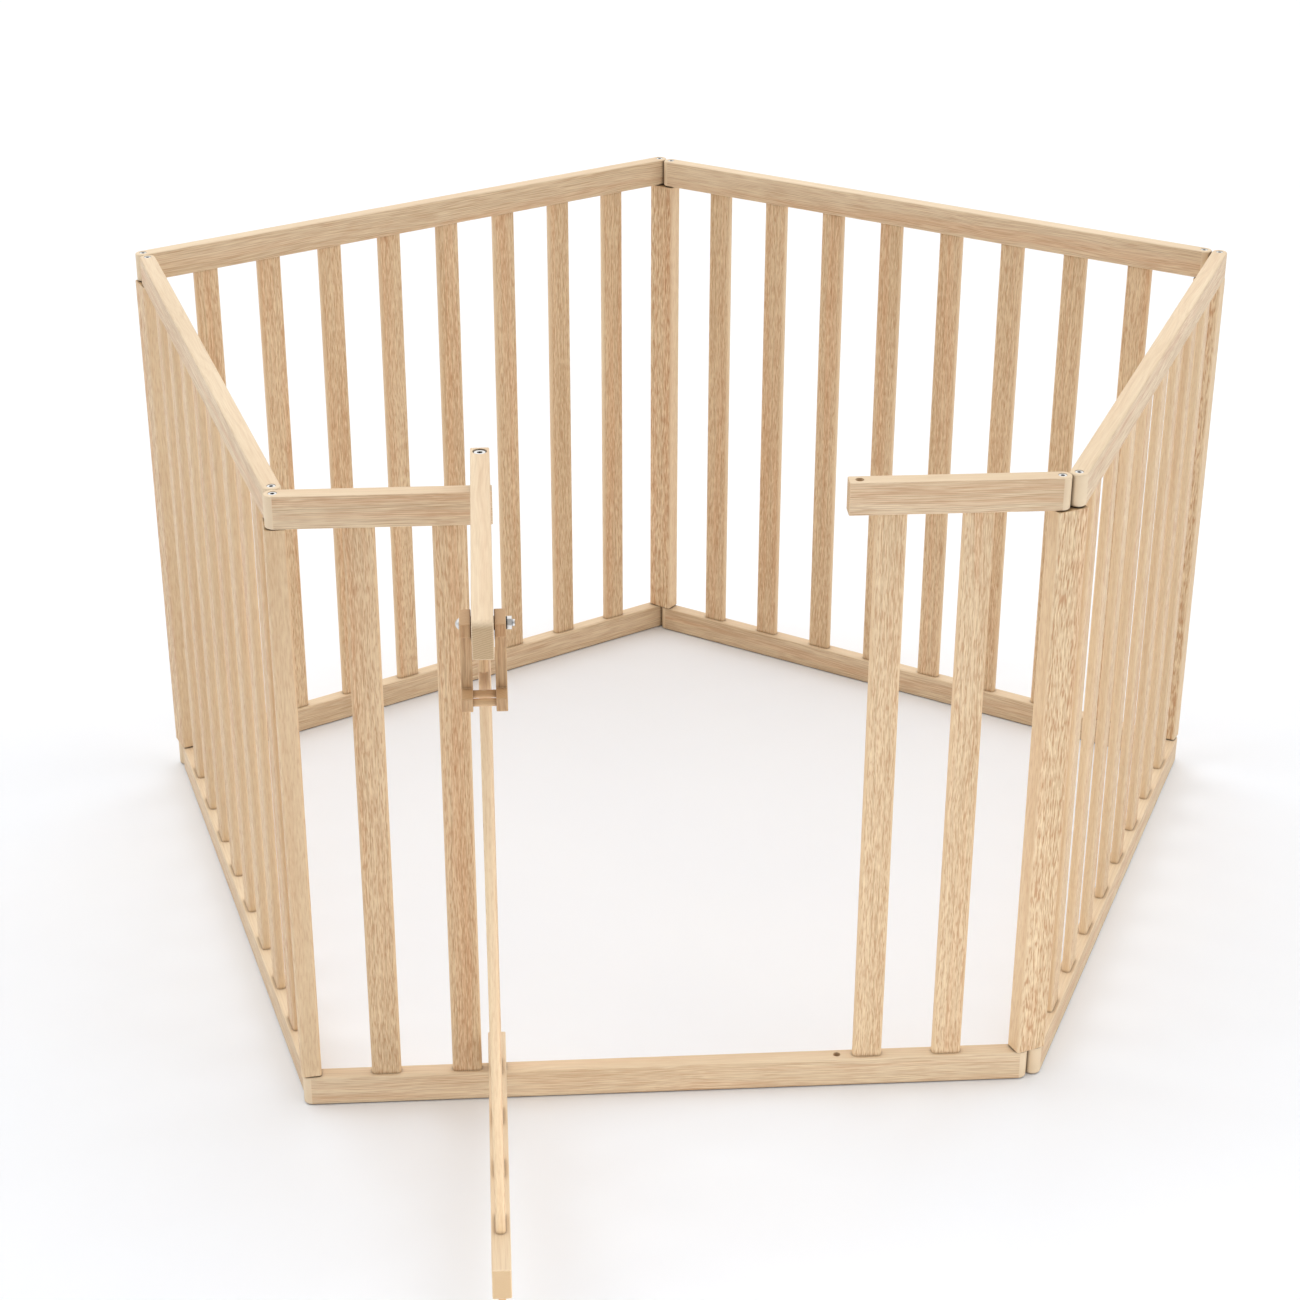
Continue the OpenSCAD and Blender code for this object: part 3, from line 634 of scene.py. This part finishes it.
for side, x in (("left", -cheek_gap), ("right", cheek_gap + cheek_t)):
    make_piece(f"latch_cheek_{side}", [placed(cheek(), 0, pivot + [x, 0, 0], gate_basis)], "latch",
               [f"latch_{side}_cheek"], shaded_cheek_wood)
for name in ("front", "rear"):
    low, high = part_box(f"latch_{name}_dowel")
    centre = (high.x, (low.y + high.y) / 2, (low.z + high.z) / 2)
    peg = placed(dowel((high.z - low.z) / 2, high.x - low.x), 0, centre, gate_basis)
    make_piece(f"latch_dowel_{name}", [peg], "latch", [f"latch_{name}_dowel"], dowel_wood)
for name in ("top", "bottom"):
    low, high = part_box(f"gate_{name}_peg")
    peg = placed(dowel((high.x - low.x) / 2, high.z - low.z),
                 0, ((low.x + high.x) / 2, (low.y + high.y) / 2, low.z))
    make_piece(f"gate_peg_{name}", [peg], "gate", [f"gate_{name}_peg"], dowel_wood)
print("latch pivot:", pivot.round(4).tolist())

# %% [markdown]
# ## Zinc-plated steel
# Flush bolts, the hinge bolt and the latch bolt are zinc-plated steel: a bright metal, dulled by a
# fine crystal bloom about half a millimetre across. The frame's own shapes already have heads and
# hexagon sockets, so they only need their finish. A metal gets its colour from its base colour alone.
# Sockets would reflect a bright sky as no real ones do, so their insides get a painted shade that deepens
# with their depth.
# %% Metals and nylon
def metal(name, bright, dull, grain_mm, rough):
    """Metal whose colour and roughness vary with a fine noise of grain_mm."""
    material, tree, out = new_material(name)
    place = add(tree, "ShaderNodeTexCoord").outputs["Object"]
    bloom = add(tree, "ShaderNodeTexNoise", {
        "Vector": place, "Scale": 1000 / grain_mm, "Detail": 3.0}).outputs["Fac"]
    cloud = add(tree, "ShaderNodeTexNoise", {
        "Vector": place, "Scale": 160.0, "Detail": 2.0}).outputs["Fac"]
    both = add(tree, "ShaderNodeMath", {0: bloom, 1: cloud}, operation="MULTIPLY").outputs[0]
    tone = add(tree, "ShaderNodeMix", {0: both, 6: linear(bright), 7: linear(dull)},
               data_type="RGBA").outputs[2]
    # painted shade: socket insides and other crevices are darkened towards near-black
    open_sky = add(tree, "ShaderNodeAmbientOcclusion", {"Distance": 0.004}, samples=6).outputs["AO"]
    painted_socket_shade = add(tree, "ShaderNodeMapRange", {0: open_sky, 1: 0.8, 2: 0.45, 3: 0.0, 4: 0.95}).outputs[0]
    tone = add(tree, "ShaderNodeMix", {0: painted_socket_shade, 6: tone, 7: linear("#1C1C1C")},
               data_type="RGBA").outputs[2]
    gloss = add(tree, "ShaderNodeMapRange", {0: bloom, 1: 0.3, 2: 0.7, 3: rough, 4: rough + 0.16}).outputs[0]
    bump = add(tree, "ShaderNodeBump", {"Height": bloom, "Strength": 0.08, "Distance": 0.0001}).outputs[0]
    shader = add(tree, "ShaderNodeBsdfPrincipled", {
        "Base Color": tone, "Metallic": 1.0, "Roughness": gloss, "Normal": bump})
    tree.links.new(shader.outputs[0], out.inputs[0])
    return material


def nylon(name):
    """Matt black nylon with a fine moulded stipple of about 0.4 mm."""
    material, tree, out = new_material(name)
    place = add(tree, "ShaderNodeTexCoord").outputs["Object"]
    stipple = add(tree, "ShaderNodeTexNoise", {
        "Vector": place, "Scale": 2500.0, "Detail": 2.0}).outputs["Fac"]
    tone = add(tree, "ShaderNodeMix", {0: stipple, 6: linear("#141414"), 7: linear("#262524")},
               data_type="RGBA").outputs[2]
    gloss = add(tree, "ShaderNodeMapRange", {0: stipple, 1: 0.3, 2: 0.7, 3: 0.5, 4: 0.7}).outputs[0]
    bump = add(tree, "ShaderNodeBump", {"Height": stipple, "Strength": 0.1, "Distance": 0.0001}).outputs[0]
    shader = add(tree, "ShaderNodeBsdfPrincipled", {
        "Base Color": tone, "Roughness": gloss, "IOR": 1.53, "Normal": bump})
    tree.links.new(shader.outputs[0], out.inputs[0])
    return material


zinc = metal("steel_zinc_plated", "#EDECEA", "#B4B3B1", 0.5, 0.40)
brass = metal("brass_turned", "#D9B871", "#A98846", 0.3, 0.25)
black = nylon("nylon_black_moulded")
for name, node in frame["nodes"].items():
    if node.hide_render:
        continue
    finish = brass if "insert" in name else black if "washer" in name or "spacer" in name else zinc
    node.data.materials.clear()
    node.data.materials.append(finish)
print("steel, brass and nylon nodes:", sum(not n.hide_render for n in frame["nodes"].values()))

# %% [markdown]
# ## The room
# A pale floor, a white sky and three broad soft lights, as in a studio with a lit ceiling. Small
# lamps would fade with distance and leave the far floor grey, so each light is a sun with a very wide
# disc: its light is even all over and its shadows are soft. The ceiling is strongest, so the tops of
# the rails read as the palest faces; the right side is a little stronger than the left. A low lit
# board in front lifts the foot of the pen. Colours are shown as they are, with the plain sRGB view,
# because a film-like view would grey the pale wood.
# %% Floor, light and camera
def soft_light(name, towards, spread, strength, colour):
    """A sun with a wide disc: towards is the way to the light, spread its disc in degrees."""
    lamp = bpy.data.lights.new(name, "SUN")
    lamp.angle, lamp.energy, lamp.color = np.radians(spread), strength, linear(colour)[:3]
    lamp_object = bpy.data.objects.new(name, lamp)
    lamp_object.rotation_euler = Vector(towards).to_track_quat("Z", "Y").to_euler()
    bpy.context.scene.collection.objects.link(lamp_object)


material, tree, out = new_material("pale_floor")
place = add(tree, "ShaderNodeTexCoord").outputs["Object"]
mottle = add(tree, "ShaderNodeTexNoise", {"Vector": place, "Scale": 3.0, "Detail": 3.0}).outputs["Fac"]
tone = add(tree, "ShaderNodeMix", {0: mottle, 6: linear("#F4F7FC"), 7: linear("#F9FBFE")},
           data_type="RGBA").outputs[2]
shader = add(tree, "ShaderNodeBsdfPrincipled", {"Base Color": tone, "Roughness": 0.9, "IOR": 1.3})
tree.links.new(shader.outputs[0], out.inputs[0])
floor_mesh = bpy.data.meshes.new("floor")
floor_reach, floor_z = 90, -0.0005
floor_corners = [(x * floor_reach, y * floor_reach, floor_z) for x, y in ((-1, -1), (1, -1), (1, 1), (-1, 1))]
floor_mesh.from_pydata(floor_corners, [], [(0, 1, 2, 3)])
floor_mesh.materials.append(material)
floor = bpy.data.objects.new("floor", floor_mesh)
bpy.context.scene.collection.objects.link(floor)

world = bpy.data.worlds.new("white_room")
world.use_nodes = True
world.node_tree.nodes["Background"].inputs[0].default_value = (1, 1, 1, 1)
# the sky lights the pen gently, but looks white where a camera sees past the floor
sky_light, sky_seen = 0.36, 1.0
seen = add(world.node_tree, "ShaderNodeLightPath").outputs["Is Camera Ray"]
glow = add(world.node_tree, "ShaderNodeMapRange", {0: seen, 3: sky_light, 4: sky_seen}).outputs[0]
world.node_tree.links.new(glow, world.node_tree.nodes["Background"].inputs[1])
bpy.context.scene.world = world
bpy.context.scene.view_settings.view_transform = "Standard"
soft_light("ceiling", (-0.05, 0.50, 1.0), 100, 1.88, "#FFFFFF")
soft_light("right_side", (0.95, -0.16, 0.60), 60, 0.75, "#FFFFFF")
soft_light("left_side", (-1.0, 0.10, 0.70), 40, 0.55, "#FFFFFF")

# A low lit board in front brightens the foot of the pen. No camera sees it.
card = bpy.data.lights.new("low_card", "AREA")
card.shape, card.size, card.size_y, card.energy = "RECTANGLE", 1.4, 0.10, 2.3
card_object = bpy.data.objects.new("low_card", card)
card_object.location = (0.25, -1.22, 0.05)
card_object.rotation_euler = Vector((0, -1, 0)).to_track_quat("Z", "Y").to_euler()
card_object.visible_camera = False
bpy.context.scene.collection.objects.link(card_object)

# The camera stands in front of the doorway at a standing adult's eye height and looks down into the pen.
yaw, dip, roll = 0.06536, 0.45558, 0.00173
forward = Vector((np.sin(yaw) * np.cos(dip), np.cos(yaw) * np.cos(dip), -np.sin(dip)))
level = Vector((np.cos(yaw), -np.sin(yaw), 0))
rise = level.cross(forward)
right = level * np.cos(roll) + rise * np.sin(roll)
up = right.cross(forward)
lens = bpy.data.cameras.new("camera")
lens.lens, lens.sensor_width = 71.663, 36.0
camera = bpy.data.objects.new("camera", lens)
facing = Matrix((right, up, -forward)).transposed().to_4x4()
camera.matrix_world = Matrix.Translation((-0.24204, -2.75789, 1.69361)) @ facing
bpy.context.scene.collection.objects.link(camera)
bpy.context.scene.camera = camera
print("camera at", [round(v, 3) for v in camera.location], "lens", lens.lens)
